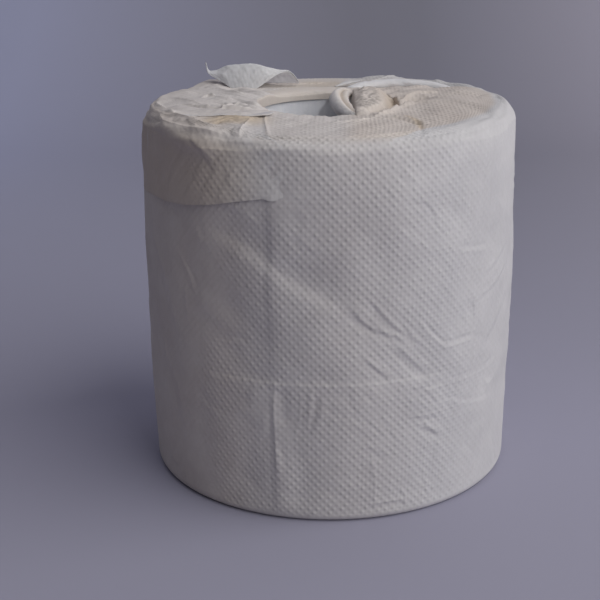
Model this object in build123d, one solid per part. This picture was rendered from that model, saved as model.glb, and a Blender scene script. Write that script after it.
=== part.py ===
"""A toilet paper roll standing on its end in a folded tissue wrapper, opened at its top.

Z is the roll's axis and points up. The origin is on the axis, in the plane that the wrapper rests on.
Azimuths are in degrees, counted from +X towards +Y, and the front of the roll looks along -Y.
Travel says how far a place lies along the wrapper's half section: 0 at the mouth, 1 at the edge of the
top face, 2 below the rim, 3 at the foot of the sleeve and 4 where the base's flat begins.
"""
import os
from math import cos, pi, radians, sin

from build123d import *

# Wound paper and its core, in millimetres
web_width = 100.0
roll_radius = 50.3
roll_top_edge = 2.6
roll_base_edge = 1.2
core_outer_radius = 20.9
core_wall = 0.7
core_seam_width = 0.8
core_seam_depth = 0.15
core_seam_turns = 1.0
tail_step = 0.3
tail_azimuth = 65.0
tail_arc = 30.0
turn_lines = 4
turn_line_width = 0.5
turn_line_depth = 0.3

# Wrapper: one sheet of embossed tissue
sheet = 0.4
layer = 0.45
seat_gap = 0.05
sleeve_air = 0.2
waist_slack = 0.75
top_air = 1.0
mouth_dip = 0.7
mouth_edge = 0.8
rim_radius = 4.4
base_fold = 0.8
base_rim_radius = 2.0
hem_depth = 3.0
tuck_depth = 25.0

# Relief: how far the slack sheet stands in waves, gathers, dents and creases
wave_height = 0.16
gather_count = 21
gather_height = 0.55
shoulder_drop = 1.1
crease_height = 0.8
base_gathers = 15
base_gather_depth = 0.4
base_gather_width = 3.4

# Lapel: the end of the sheet, laid back over the rim at the front left
lapel_start = 150.0
lapel_overlap = 5.2
lapel_drop = 21.0
lapel_sag = 3.0

# Lap: the sleeve's upright edge, and the band folded up from below
lap_azimuth = 254.8
lap_arc = 50.0
band_start = 234.0
band_end = 309.0
band_height = 38.0

# Leaf: the corner of the sheet that stands up behind the mouth and curls over to the front
leaf_height = 7.5
leaf_thickness = 0.5

# Lattice of the skin, and where the layers on the sleeve stop
facets_round = 60
rings_down_sleeve = 13
sleeve_layers_start = 2.06
sleeve_layers_end = 2.96

# Sizes that follow from those above
core_bore = core_outer_radius - core_wall
tuck_outer = core_bore - seat_gap
tuck_bore = tuck_outer - sheet
roll_base = base_fold + seat_gap
roll_top = roll_base + web_width
room_radius = roll_radius + sleeve_air
room_top = roll_top + top_air
height = room_top + sheet
mouth_height = height - mouth_dip
skin_radius = room_radius + sheet
flat_radius = skin_radius - rim_radius
foot_radius = skin_radius - base_rim_radius
sleeve_top = height - rim_radius
beyond = 2 * height
lapel_end = lap_azimuth + lapel_overlap
ring_azimuths = [360.0 * index / facets_round for index in range(facets_round)]
ring_travels = [0, 0.12, 0.3, 0.5, 0.7, 0.87, 1, 1.33, 1.67]
ring_travels += [2 + index / rings_down_sleeve for index in range(rings_down_sleeve)]
ring_travels += [3, 3.5, 4]

# Creases and dents: the places that each passes through, its half width and its share of crease_height
soft_creases = [
    ([(234, 2.22), (255, 2.34), (264, 2.39)], 6.0, 0.7),
    ([(258, 2.36), (276, 2.42)], 5.0, -0.6),
    ([(282, 2.44), (304, 2.63)], 5.5, 0.7),
    ([(268, 2.54), (259, 2.9)], 6.0, 0.6),
    ([(298, 2.6), (331, 2.66)], 5.0, 0.5),
    ([(283, 2.8), (283, 2.98)], 4.5, 0.5),
    ([(317, 2.46), (319, 2.5)], 7.0, -0.7),
    ([(305, 2.15), (318, 2.3)], 7.0, -0.5),
    ([(20, 2.25), (46, 2.4)], 6.0, 0.7),
    ([(75, 2.58), (100, 2.7)], 6.0, 0.7),
    ([(118, 2.3), (127, 2.6)], 6.0, -0.6),
    ([(150, 2.15), (160, 2.4)], 7.0, 0.6),
    ([(165, 2.5), (190, 2.62)], 6.0, 0.6),
    ([(345, 2.2), (355, 2.5)], 7.0, 0.5),
    ([(210, 2.6), (222, 2.75)], 6.0, 0.5),
    ([(193, 1.4), (206, 1.1), (231, 1.05), (243, 1.3)], 4.5, 1.5),
    ([(208, 0.85), (229, 0.15)], 5.0, 2.0),
    ([(236, 0.1), (252, 1.0), (255, 1.8)], 4.5, 1.2),
    ([(318, 0.1), (305, 0.65), (297, 1.2)], 5.0, -1.0),
    ([(14, 0.1), (26, 0.45), (30, 0.7)], 4.5, -0.9),
    ([(340, 0.5), (0, 0.55)], 10.0, 0.8),
    ([(80, 1.2), (95, 1.2)], 9.0, -1.0),
]


# Puffed fold behind the mouth: its places on the skin, and how far each is lifted
back_places = [((79.4, 0.46), -0.8), ((68.2, 0.85), 0.2), ((56.3, 0.97), 0.0), ((39.6, 0.94), -1.0)]

# Leaf: share of its foot line, share of its height, depth of its roll, and how much of a half turn it rolls
leaf_stations = [
    (0.0, 0.2, 0.6, 0.45),
    (0.05, 0.95, 0.8, 0.5),
    (0.1, 0.6, 1.2, 0.55),
    (0.21, 0.8, 2.5, 0.8),
    (0.33, 0.9, 3.8, 0.9),
    (0.44, 0.93, 4.6, 0.92),
    (0.56, 0.93, 5.2, 0.92),
    (0.68, 0.78, 5.4, 0.85),
    (0.75, 0.66, 5.4, 0.74),
    (0.8, 0.6, 5.0, 0.5),
    (0.89, 0.62, 4.0, 0.45),
    (0.94, 0.45, 3.0, 0.45),
    (1.0, 0.15, 1.5, 0.4),
]


def polar(radius, azimuth, z=0.0):
    """Point at a radius and an azimuth."""
    return Vector(radius * cos(radians(azimuth)), radius * sin(radians(azimuth)), z)


def even_skin(azimuth, travel):
    """Point and outward direction of the skin before its relief."""
    tilt = 0.0
    if travel <= 1:
        tilt = 90.0
        radius = tuck_bore + travel * (flat_radius - tuck_bore)
        z = mouth_height + travel * mouth_dip
    elif travel <= 2:
        tilt = 90.0 * (2 - travel)
        radius = flat_radius + rim_radius * cos(radians(tilt))
        z = sleeve_top + rim_radius * sin(radians(tilt))
    elif travel <= 3:
        radius = skin_radius + waist_slack * sin(pi * (travel - 2))
        z = sleeve_top + (travel - 2) * (base_rim_radius - sleeve_top)
    else:
        tilt = 90.0 * (3 - travel)
        radius = foot_radius + base_rim_radius * cos(radians(tilt))
        z = base_rim_radius + base_rim_radius * sin(radians(tilt))
    return polar(radius, azimuth, z), polar(cos(radians(tilt)), azimuth, sin(radians(tilt)))


def distance_to_path(point, path):
    """Distance from a point to a line of straight runs."""
    nearest = beyond
    for start, end in zip(path, path[1:]):
        run = end - start
        share = max(0.0, min(1.0, (point - start).dot(run) / run.dot(run)))
        nearest = min(nearest, (point - start - run * share).length)
    return nearest


crease_paths = [
    ([even_skin(*place)[0] for place in places], width, share)
    for places, width, share in soft_creases
]


def spare_depth(travel):
    """How far a dent may sink before the sheet gets too thin over the paper."""
    if travel < 1:
        return 0.3 * sheet + travel * mouth_dip / 2
    if travel < 1.9:
        return 0.3 * sheet + mouth_dip / 2
    return 0.3 * sheet + waist_slack * sin(pi * max(0.0, travel - 2))


def relief(azimuth, travel):
    """How far the skin stands out from its even form at a place."""
    if travel >= 3:
        return 0.0
    turn = radians(azimuth)
    out = wave_height * (sin(5 * turn + 2.1 * travel) + sin(8 * turn - 9 * travel))
    out += 0.6 * wave_height * sin(13 * turn + 17 * travel)
    if travel < 1.3:
        swing = gather_count * turn + 1.6 * sin(3 * turn) + 0.9 * sin(7 * turn)
        out += gather_height * (1 - travel / 1.3) * (0.8 + sin(swing) + 0.4 * sin(2 * swing + 1))
    shoulder = max(0.0, cos(radians(azimuth - 172))) ** 3 * max(0.0, 1 - abs(travel - 1.5) / 0.7)
    out -= shoulder_drop * shoulder
    point, _ = even_skin(azimuth, travel)
    for path, width, share in crease_paths:
        gap = distance_to_path(point, path) / width
        if gap < 1:
            out += crease_height * share * (1 - gap)
    return max(out, -spare_depth(travel))


def skin_point(azimuth, travel, lift=0.0):
    """Point of the skin, lifted off it by a distance."""
    point, out = even_skin(azimuth, travel)
    return point + out * (relief(azimuth, travel) + lift)


def crumpled(loops):
    """Solid through loops of corners, in flat triangles as a crumpled sheet has them."""
    faces = [Face(Wire.make_polygon(loop, close=True)) for loop in (loops[0], loops[-1])]
    for low, high in zip(loops, loops[1:]):
        for index in range(len(low)):
            after = (index + 1) % len(low)
            faces.append(Face(Wire.make_polygon([low[index], low[after], high[after]], close=True)))
            faces.append(Face(Wire.make_polygon([low[index], high[after], high[index]], close=True)))
    return Solid(Shell(faces))


def skin_form():
    """The wrapper's outer form, filled."""
    inside = 0.9 * tuck_bore
    loops = [[polar(inside, azimuth, mouth_height) for azimuth in ring_azimuths]]
    loops += [[skin_point(azimuth, travel) for azimuth in ring_azimuths] for travel in ring_travels]
    loops.append([polar(inside, azimuth) for azimuth in ring_azimuths])
    return crumpled(loops)


def turned(points):
    """Solid of revolution about the roll's axis, from the corners of its half section."""
    return revolve(Plane.XZ * make_face(Polyline(points, close=True)), Axis.Z)


def room():
    """Space inside the wrapper, round the core and the wound paper."""
    return turned(
        [
            (tuck_outer, base_fold),
            (room_radius - roll_base_edge, base_fold),
            (room_radius, base_fold + roll_base_edge),
            (room_radius, roll_top - roll_top_edge),
            (room_radius - roll_top_edge, roll_top + seat_gap),
            (flat_radius - roll_top_edge, room_top - mouth_dip),
            (tuck_outer + mouth_edge, mouth_height - sheet),
            (tuck_outer, roll_top + seat_gap),
        ]
    )


def mouth():
    """The way through the wrapper's hem and tuck, with the rounded lip of the mouth."""
    return turned(
        [
            (0, -beyond),
            (tuck_bore, -beyond),
            (tuck_bore, mouth_height - mouth_edge),
            (tuck_bore + mouth_edge, mouth_height + 0.1),
            (tuck_bore + mouth_edge, beyond),
            (0, beyond),
        ]
    )


def shell():
    """The sheet as a sleeve folded over both ends, with its hem at the top and its tuck at the base."""
    bare_core = height - hem_depth - tuck_depth
    open_middle = Pos(0, 0, tuck_depth + bare_core / 2) * Cylinder(core_bore, bare_core)
    gathers = [base_gather(index) for index in range(base_gathers)]
    return skin_form() - [room() + mouth() + open_middle, *gathers]


def spread(start, end, count):
    """Evenly spread values from start to end."""
    return [start + (end - start) * index / count for index in range(count + 1)]


def stations(lattice, ends, spare):
    """The ends and the places of a lattice between them, where these keep clear of each end."""
    low, high = min(ends), max(ends)
    between = [place for place in lattice if low < place < high]
    clear = [place for place in between if min(abs(place - end) for end in ends) > spare]
    return sorted([*ends, *clear])


def patch(azimuths, first, last, depth, thickness):
    """A further layer on the skin's own lattice, from travel first to last, rooted in the sheet."""
    ends = [max(first(azimuth) for azimuth in azimuths), min(last(azimuth) for azimuth in azimuths)]
    between = stations(ring_travels, ends, 0.025)[1:-1]
    sections = []
    for azimuth in azimuths:
        travels = [first(azimuth), *between, last(azimuth)]
        over = [skin_point(azimuth, travel, thickness(azimuth, travel)) for travel in travels]
        under = [skin_point(azimuth, travel, -depth * sheet) for travel in reversed(travels)]
        sections.append(over + under)
    return crumpled(sections)


def lap_thickness(azimuth, travel):
    """Thickness of the lap's end, which starts with a step and thins out to the right."""
    share = (azimuth - lap_azimuth) / lap_arc
    covered = 0 <= share <= 1 and travel >= sleeve_layers_start
    return layer * max(0.05, 1 - share) if covered else 0.0


def lapel():
    """The end of the sheet, turned out of the mouth and over the rim, with a curved free edge."""
    middle = (lapel_start + lapel_end) / 2
    half = (lapel_end - lapel_start) / 2
    sleeve_run = sleeve_top - base_rim_radius

    def free_edge(azimuth):
        droop = lapel_drop - rim_radius + lapel_sag * cos(pi / 2 * (azimuth - middle + 8) / half)
        return 2 + droop / sleeve_run

    def thickness(azimuth, travel):
        return lap_thickness(azimuth, travel) + layer

    azimuths = stations(ring_azimuths, [lapel_start, lap_azimuth - 0.5, lap_azimuth, lapel_end], 1.0)
    return patch(azimuths, lambda azimuth: 0.06, free_edge, 0.5, thickness)


def lap():
    """The sleeve's upright edge, where its end lies over its start."""
    def top(azimuth):
        return sleeve_layers_start

    def foot(azimuth):
        return sleeve_layers_end

    azimuths = stations(ring_azimuths, [lap_azimuth, lap_azimuth + lap_arc], 1.0)
    return patch(azimuths, top, foot, 0.4, lap_thickness)


def band():
    """The strip folded up from the foot across the front, over the lap."""
    sleeve_run = sleeve_top - base_rim_radius
    middle = (band_start + band_end) / 2
    half = (band_end - band_start) / 2

    def upper_edge(azimuth):
        rise = 1.5 * cos(pi / 2 * (azimuth - middle) / half)
        return 3 - (band_height - base_rim_radius + rise) / sleeve_run

    def foot(azimuth):
        return sleeve_layers_end + 0.01

    def thickness(azimuth, travel):
        own = layer * (0.5 + 0.4 * cos(pi / 2 * (azimuth - middle) / half))
        return lap_thickness(azimuth, travel) + own

    azimuths = stations(ring_azimuths, [band_start, lap_azimuth - 0.5, lap_azimuth, band_end], 1.0)
    return patch(azimuths, upper_edge, foot, 0.3, thickness)


def fold(path, width, rise):
    """A sharp pinched crease that follows places of the skin and runs out at both ends."""
    sections = []
    steps = len(path) - 1
    for index, (azimuth, travel) in enumerate(path):
        point = skin_point(azimuth, travel)
        _, out = even_skin(azimuth, travel)
        before = skin_point(*path[max(index - 1, 0)])
        after = skin_point(*path[min(index + 1, steps)])
        across = out.cross(after - before).normalized()
        full = max(sin(pi * index / steps), 0.2)
        half = across * (width / 2 * full)
        root = point - out * (sheet / 2)
        peak = point + out * (rise * full)
        sections.append([root - half, peak, root + half])
    return crumpled(sections)


def folds():
    """The creases that show as sharp lines."""
    return [
        fold([(255, 2.34), (264, 2.39), (270, 2.4)], 2.4, 0.7),
        fold([(289, 2.46), (295, 2.5), (304, 2.62)], 2.4, 0.6),
        fold([(268, 2.52), (267, 2.6), (264, 2.76), (259, 2.9)], 2.0, 0.6),
        fold([(298, 2.58), (309, 2.61), (320, 2.64)], 1.8, 0.5),
        fold([(283, 2.82), (283, 2.9), (283, 2.97)], 1.8, 0.5),
        fold([(255, 2.66), (254, 2.73), (254.5, 2.8), (255, 2.9)], 1.6, 1.1),
        fold([(210, 0.99), (214, 0.8), (222.5, 0.53), (235, 0.32)], 2.6, 1.6),
        fold([(199, 0.98), (206, 0.99), (213, 1.02), (222, 1.12), (231, 1.4)], 3.0, 1.6),
        fold([(182, 1.4), (190, 1.16), (198, 1.0)], 2.4, 1.5),
        fold([(253, 0.34), (243, 0.62), (242, 0.9), (247, 1.2)], 2.2, 0.9),
    ]


def rolled_tuck(places, radii, flatness):
    """A rolled fold that crosses the mouth, through given places, with its radii in shares of the bore."""
    path = Spline(*places)
    sections = []
    for index, radius in enumerate(radii):
        share = index / (len(radii) - 1)
        along = path % share
        side = along.cross(Vector(0, 0, 1)).normalized()
        up = side.cross(along).normalized()
        corners = []
        for corner in range(9):
            turn = 2 * pi * corner / 9 + 0.35 * index
            swell = radius * tuck_bore * (1 + 0.12 * sin(2.3 * corner + 1.7 * index))
            corners.append(path @ share + side * (swell * cos(turn)) + up * (flatness * swell * sin(turn)))
        sections.append(corners)
    return crumpled(sections)


def in_mouth(x, y, rise):
    """Place in the mouth, in shares of its bore, and a height over it."""
    return Vector(x * tuck_bore, y * tuck_bore, mouth_height + rise)


def tucks():
    """The rolled folds that fill the right half of the mouth, and the puffed fold behind them."""
    crescent = rolled_tuck(
        [
            in_mouth(0.3, -1.2, -2.5),
            in_mouth(0.03, -0.5, -0.6),
            in_mouth(0.02, 0.4, 0),
            in_mouth(0.34, 1.35, -2),
        ],
        [0.08, 0.13, 0.15, 0.15, 0.13, 0.08],
        1.3,
    )
    pillow = rolled_tuck(
        [
            in_mouth(0.62, -1.25, -2.5),
            in_mouth(0.5, -0.45, -1.2),
            in_mouth(0.55, 0.5, -1),
            in_mouth(0.7, 1.4, -2.5),
        ],
        [0.12, 0.25, 0.3, 0.28, 0.23, 0.12],
        0.85,
    )
    inner = rolled_tuck(
        [
            in_mouth(0.95, -0.9, -3.5),
            in_mouth(0.86, -0.2, -2.6),
            in_mouth(0.9, 0.4, -2.6),
            in_mouth(1.15, 1, -3.5),
        ],
        [0.1, 0.2, 0.23, 0.21, 0.1],
        0.8,
    )
    back = rolled_tuck(
        [skin_point(*place) + Vector(0, 0, lift) for place, lift in back_places],
        [0.06, 0.15, 0.18, 0.16, 0.06],
        0.7,
    )
    return (pillow + [crescent, inner, back]) - under_tucks()


def under_tucks():
    """Everything under the top face, round the mouth: a tuck ends halfway through the sheet there."""
    top = mouth_height - sheet / 2
    inside = tuck_bore + sheet / 2
    return turned(
        [
            (inside, -1),
            (beyond, -1),
            (beyond, top),
            (inside + mouth_edge, top),
            (inside, roll_top + seat_gap),
        ]
    )


def leaf():
    """The corner of the sheet that stands up behind the mouth, rolls forward and opens to the right."""
    left = Vector(-0.71 * skin_radius, 0.6 * skin_radius, mouth_height - sheet / 2)
    right = Vector(-0.17 * skin_radius, 0.68 * skin_radius, mouth_height - sheet / 2)
    sections = []
    for share, tall, deep, curl in leaf_stations:
        foot = left + (right - left) * share
        rise = leaf_height * tall
        outer = []
        inner = []
        for turn in spread(0, pi * curl, 5):
            point = foot + Vector(0, -deep * (1 - cos(turn)) / 2, rise * sin(turn))
            out = Vector(0, rise * cos(turn), deep / 2 * sin(turn)).normalized()
            outer.append(point + out * (leaf_thickness / 2))
            inner.append(point - out * (leaf_thickness / 2))
        sections.append(outer + inner[::-1])
    return crumpled(sections)


def base_gather(index):
    """One sunken pleat of the base, from beside the tuck towards the foot."""
    azimuth = 360.0 * index / base_gathers + 4.0 * sin(2.9 * index)
    reach = 0.75 + 0.15 * sin(1.9 * index)
    below = Vector(0, 0, -1)
    sections = []
    for share, depth in ((0.04, 1.0), (reach, 0.2)):
        point = polar(tuck_outer + share * (foot_radius - tuck_outer), azimuth)
        half = polar(1, azimuth + 90) * (base_gather_width / 2 * (0.3 + 0.7 * depth))
        peak = point + Vector(0, 0, base_gather_depth * depth)
        corners = [point + below - half, point - half, peak, point + half, point + below + half]
        sections.append(corners)
    return crumpled(sections)


def wrapper():
    """The whole sheet, as it lies folded round the roll."""
    return shell() + [lapel(), lap(), band(), leaf(), *folds(), tucks()]


def wound_paper():
    """The wound paper, with the lines of its turns on both ends and the step of its tail."""
    bore = core_outer_radius + seat_gap
    body = turned(
        [
            (bore, roll_base),
            (roll_radius - roll_base_edge, roll_base),
            (roll_radius, roll_base + roll_base_edge),
            (roll_radius, roll_top - roll_top_edge),
            (roll_radius - roll_top_edge, roll_top),
            (bore, roll_top),
        ]
    )
    lines = turn_line()
    body = body - Pos(0, 0, roll_top - turn_line_depth) * lines
    body = body - Pos(0, 0, roll_base) * lines
    return body - tail_wedge()


def turn_line():
    """Spiral groove that stands for the edges of the turns, as deep as the grooves are cut."""
    steps = 14 * turn_lines
    first = core_outer_radius + 2 * turn_line_width
    last = roll_radius - roll_top_edge - 2 * turn_line_width
    sides = []
    for side in (-0.5, 0.5):
        line = []
        for step in range(steps + 1):
            radius = first + (last - first) * step / steps + side * turn_line_width
            line.append(polar(radius, 360.0 * turn_lines * step / steps))
        sides.append(line)
    face = make_face(Polyline(sides[0] + sides[1][::-1], close=True))
    return extrude(face, turn_line_depth)


def tail_wedge():
    """What the outermost turn leaves free beyond its tail."""
    start = polar(roll_radius - tail_step, tail_azimuth)
    middle = polar(roll_radius - 0.4 * tail_step, tail_azimuth + tail_arc / 2)
    end = polar(roll_radius + tail_step, tail_azimuth + tail_arc)
    outside = polar(1.1 * roll_radius, tail_azimuth + tail_arc / 2)
    start_out = polar(1.1 * roll_radius, tail_azimuth)
    face = make_face([ThreePointArc(start, middle, end), Polyline([end, outside, start_out, start])])
    return extrude(face, beyond)


def core():
    """The board tube, with the spiral seam of its strip on its inner wall."""
    base = (Align.CENTER, Align.CENTER, Align.MIN)
    tube = Cylinder(core_outer_radius, web_width, align=base) - Cylinder(core_bore, web_width, align=base)
    notch = Pos(core_bore, 0) * Rectangle(2 * core_seam_depth, core_seam_width)
    seam = Solid.extrude_linear_with_rotation(
        notch.face(), (0, 0, 0), (0, 0, web_width), 360 * core_seam_turns
    )
    return Pos(0, 0, roll_base) * (tube - seam)


def main():
    """Build the three pieces and write each to the folder of parts."""
    os.makedirs("parts", exist_ok=True)
    export_step(core(), "parts/core_tube.step")
    export_step(wound_paper(), "parts/paper_roll.step")
    export_step(wrapper(), "parts/wrapper.step")


main()
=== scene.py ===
"""Looks of a toilet paper roll that stands in its opened tissue wrapper.

Shapes are worked out in millimetres and written to the meshes in metres. Azimuths are in degrees from +X
towards +Y. Travel says how far a place lies along the wrapper's half section: 0 at the mouth, 1 at the edge
of the top face, 2 below the rim, 3 at the foot of the sleeve and 4 where the base's flat begins.
"""
from functools import partial
from math import cos, pi, radians, sin

import bpy
import numpy as np
from mathutils import Matrix, Vector


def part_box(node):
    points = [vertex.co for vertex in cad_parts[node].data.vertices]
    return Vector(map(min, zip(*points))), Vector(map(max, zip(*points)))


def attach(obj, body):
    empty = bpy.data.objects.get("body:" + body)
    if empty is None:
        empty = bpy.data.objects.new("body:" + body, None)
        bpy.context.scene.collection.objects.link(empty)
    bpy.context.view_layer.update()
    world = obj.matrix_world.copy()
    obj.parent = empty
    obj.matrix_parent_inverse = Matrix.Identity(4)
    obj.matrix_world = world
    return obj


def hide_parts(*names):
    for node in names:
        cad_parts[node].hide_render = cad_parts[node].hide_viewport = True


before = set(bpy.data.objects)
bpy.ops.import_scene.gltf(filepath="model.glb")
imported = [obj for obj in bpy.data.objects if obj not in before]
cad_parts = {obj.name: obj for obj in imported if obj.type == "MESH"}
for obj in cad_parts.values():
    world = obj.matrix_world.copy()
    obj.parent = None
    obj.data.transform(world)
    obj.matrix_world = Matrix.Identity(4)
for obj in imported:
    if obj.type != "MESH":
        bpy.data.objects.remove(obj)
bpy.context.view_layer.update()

# Driving sizes, as the solids have them, in millimetres
METRE = 1000.0
core_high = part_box("core_tube")[1] * METRE
core_wall = 0.7
mouth_inset = 0.45
mouth_dip = 0.7
end_folds = 1.4
mouth_radius = core_high.x - core_wall - mouth_inset
height = core_high.z + end_folds
mouth_height = height - mouth_dip
rim_radius = 4.4
base_rim = 2.0
waist_slack = 0.75
skin_radius = 50.9
flat_radius = skin_radius - rim_radius
foot_radius = skin_radius - base_rim
sleeve_top = height - rim_radius
tuck_depth = 25.0
rim_steepness = 0.26
rim_run = rim_radius * pi / 2
sleeve_run = sleeve_top - base_rim

# The lap's upright edge, the band folded up from below, and the lapel, as azimuths, heights and steps
lap_azimuth = 254.9
lap_step = 0.42
band_height = 38.4
band_step = 0.22
lapel_start = 150.0
lapel_end = 257.6

# The turns into the mouth: how low the skin's own edge and the hem's edge hang
lip_depth = 2.2
hem_depth = 2.25
hem_start = 62.0
hem_end = 212.0

# Lattice of the skin: columns round it, and rows on each stretch from the mouth to the base
columns = 900
rows_top = 72
rows_rim = 22
rows_sleeve = 248
rows_foot = 6
rows_base = 18

# Embossed dots, in staggered rows, with three rows and three columns of the lattice to a step
dot_steps = columns // 3
dot_width = 2 * pi * (skin_radius + waist_slack / 2) / dot_steps
dot_rise = 3 * sleeve_run / rows_sleeve
dot_depth = 0.15
dot_half = 0.48
dot_bump = 0.155

# Colours of the tissue and the floor as screen values, with pairs for darker and lighter patches; the warm
# pair and the khaki tint are painted shade, warmed as by light through the tissue, the pale tint is painted
# light, and the floor's middle colour is painted shade behind the roll
cool_patches = (208, 207, 209), (217, 216, 217)
warm_shade_patches = (208, 198, 190), (217, 209, 202)
khaki_shade_tint, lit_pale_tint, fleck_tint = (192, 170, 136), (246, 246, 249), (150, 146, 142)
floor_near, floor_middle_shade = (166, 165, 183), (140, 140, 152)
floor_left, floor_right = (174, 178, 205), (174, 171, 186)


def smooth(low, high, value):
    """Smooth step from 0 at low to 1 at high."""
    share = np.clip((value - low) / (high - low), 0, 1)
    return share * share * (3 - 2 * share)


def window(start, full, fade, end, value):
    """1 from full to fade, with a smooth step up from start and one down to end."""
    return smooth(start, full, value) * (1 - smooth(fade, end, value))


def unit(vectors):
    """The vectors at a length of 1."""
    return vectors / np.linalg.norm(vectors, axis=-1, keepdims=True)


def ring(radius, turn, z):
    """Places at a radius, a turn in radians and a height."""
    return np.stack([radius * np.cos(turn), radius * np.sin(turn), z + 0 * turn], -1)


def hump(value, centre, reach, power=2):
    """A hump that is 1 at its centre and gets steeper sides with more power."""
    return np.exp(-(np.abs((value - centre) / reach) ** power))


def spline(points, count=8):
    """The points joined by a smooth line, with count places on each run."""
    p = np.array(points, float)
    p = np.vstack([2 * p[0] - p[1], p, 2 * p[-1] - p[-2]])
    line = []
    for a, b, c, d in zip(p, p[1:], p[2:], p[3:]):
        for t in np.arange(count) / count:
            square, cube = 2 * a - 5 * b + 4 * c - d, 3 * b - a - 3 * c + d
            line.append(0.5 * (2 * b + (c - a) * t + square * t**2 + cube * t**3))
    return np.array(line + [p[-2]])


def beside(line, x, y):
    """Signed distance of each place to a line, positive on its left, and its share along the line."""
    signed = np.full(x.shape, 1e9)
    share = np.zeros(x.shape)
    runs = np.hypot(*(line[1:] - line[:-1]).T)
    before = np.concatenate([[0], np.cumsum(runs)])
    for start, end, run, done in zip(line, line[1:], runs, before):
        dx, dy = end - start
        t = np.clip(((x - start[0]) * dx + (y - start[1]) * dy) / run**2, 0, 1)
        gx, gy = x - start[0] - t * dx, y - start[1] - t * dy
        gap = np.hypot(gx, gy)
        nearer = gap < np.abs(signed)
        signed = np.where(nearer, gap * np.where(dx * gy - dy * gx >= 0, 1, -1), signed)
        share = np.where(nearer, (done + t * run) / before[-1], share)
    return signed, share


def crease(out, x, y, path, width, rise, kind="fold"):
    """Adds a sharp ridge, a soft swell, a valley, or a fold whose left side stands up, to out."""
    line = spline(path)
    reach = 3.5 * width
    low, high = line.min(0) - reach, line.max(0) + reach
    near = (x > low[0]) & (x < high[0]) & (y > low[1]) & (y < high[1])
    if not near.any():
        return
    signed, share = beside(line, x[near], y[near])
    fade = np.minimum(1, 5 * np.minimum(share, 1 - share) + 0.15)
    part = signed / width
    if kind == "ridge":
        shape = np.exp(-2.2 * np.abs(part))
    elif kind == "swell":
        shape = np.exp(-part * part)
    elif kind == "valley":
        shape = -np.exp(-np.where(part > 0, part / 2.4, part) ** 2)
    else:
        shape = 2.3 * part * np.exp(-part * part)
    out[near] += rise * fade * shape


def crumple(u, v, size, seed):
    """Crumpled relief from -1 to 1: flat facets about size millimetres wide, between sharp folds."""
    draw = np.random.default_rng(seed)
    heights = draw.uniform(-1, 1, (64, 64))
    leaning = draw.random((64, 64)) < 0.5
    across = u / size + 0.4 * np.sin(1.3 * v / size + seed) + 0.3 * np.sin(2.9 * v / size)
    along = v / size + 0.4 * np.sin(1.1 * u / size + 2 * seed) + 0.3 * np.sin(2.3 * u / size)
    column, row = np.floor(across).astype(int), np.floor(along).astype(int)
    a, b = across - column, along - row
    flip = leaning[column % 64, row % 64]
    a = np.where(flip, 1 - a, a)
    here = np.where(flip, column + 1, column) % 64
    there = np.where(flip, column, column + 1) % 64
    low, high = row % 64, (row + 1) % 64
    near = heights[here, low]
    aside, above, far = heights[there, low], heights[here, high], heights[there, high]
    first = near + (aside - near) * a + (above - near) * b
    second = far + (above - far) * (1 - a) + (aside - far) * (1 - b)
    return np.where(a + b < 1, first, second)


def crumples(u, v, *layers):
    """Crumpled reliefs added up; a layer is its rise, the size of its facets and its seed."""
    return sum(rise * crumple(u, v, size, seed) for rise, size, seed in layers)


def ripples(points, size, seed, count=7):
    """Soft relief from about -1 to 1, with swells about size millimetres wide."""
    draw = np.random.default_rng(seed)
    total = np.zeros(points.shape[:-1])
    for _ in range(count):
        way = draw.normal(size=3)
        way *= 2 * pi / (np.linalg.norm(way) * size * draw.uniform(0.7, 1.9))
        total += np.sin(points @ way + draw.uniform(0, 2 * pi))
    return total / count * 1.6


def even_skin(azimuth, travel):
    """Places and outward directions of the skin before its relief."""
    a, t = np.broadcast_arrays(np.radians(azimuth), np.asarray(travel, float))
    w = np.radians(90 * (np.clip(2 - t, 0, 1) + np.clip(3 - t, -1, 0)))
    on_sleeve = np.clip(t - 2, 0, 1)
    on_top = mouth_radius + t * (flat_radius - mouth_radius)
    radius = np.where(t <= 1, on_top, flat_radius + rim_radius * np.cos(w))
    radius = np.where(t > 2, skin_radius + waist_slack * np.sin(pi * on_sleeve), radius)
    radius = np.where(t > 3, foot_radius + base_rim * np.cos(w), radius)
    z = np.where(t <= 1, mouth_height + t * mouth_dip, sleeve_top + rim_radius * np.sin(w))
    z = np.where(t > 2, sleeve_top - on_sleeve * sleeve_run, z)
    z = np.where(t > 3, base_rim + base_rim * np.sin(w), z)
    return ring(radius, a, z), ring(np.cos(w), a, np.sin(w))


def run_down(travel):
    """Length along the rim's arc and the sleeve, from the edge of the top face."""
    return rim_run * np.clip(travel - 1, 0, 1) + sleeve_run * np.clip(travel - 2, 0, 1)


def sleeve_travel(z):
    """Travel of a height on the sleeve."""
    return 2 + (sleeve_top - z) / sleeve_run


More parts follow.
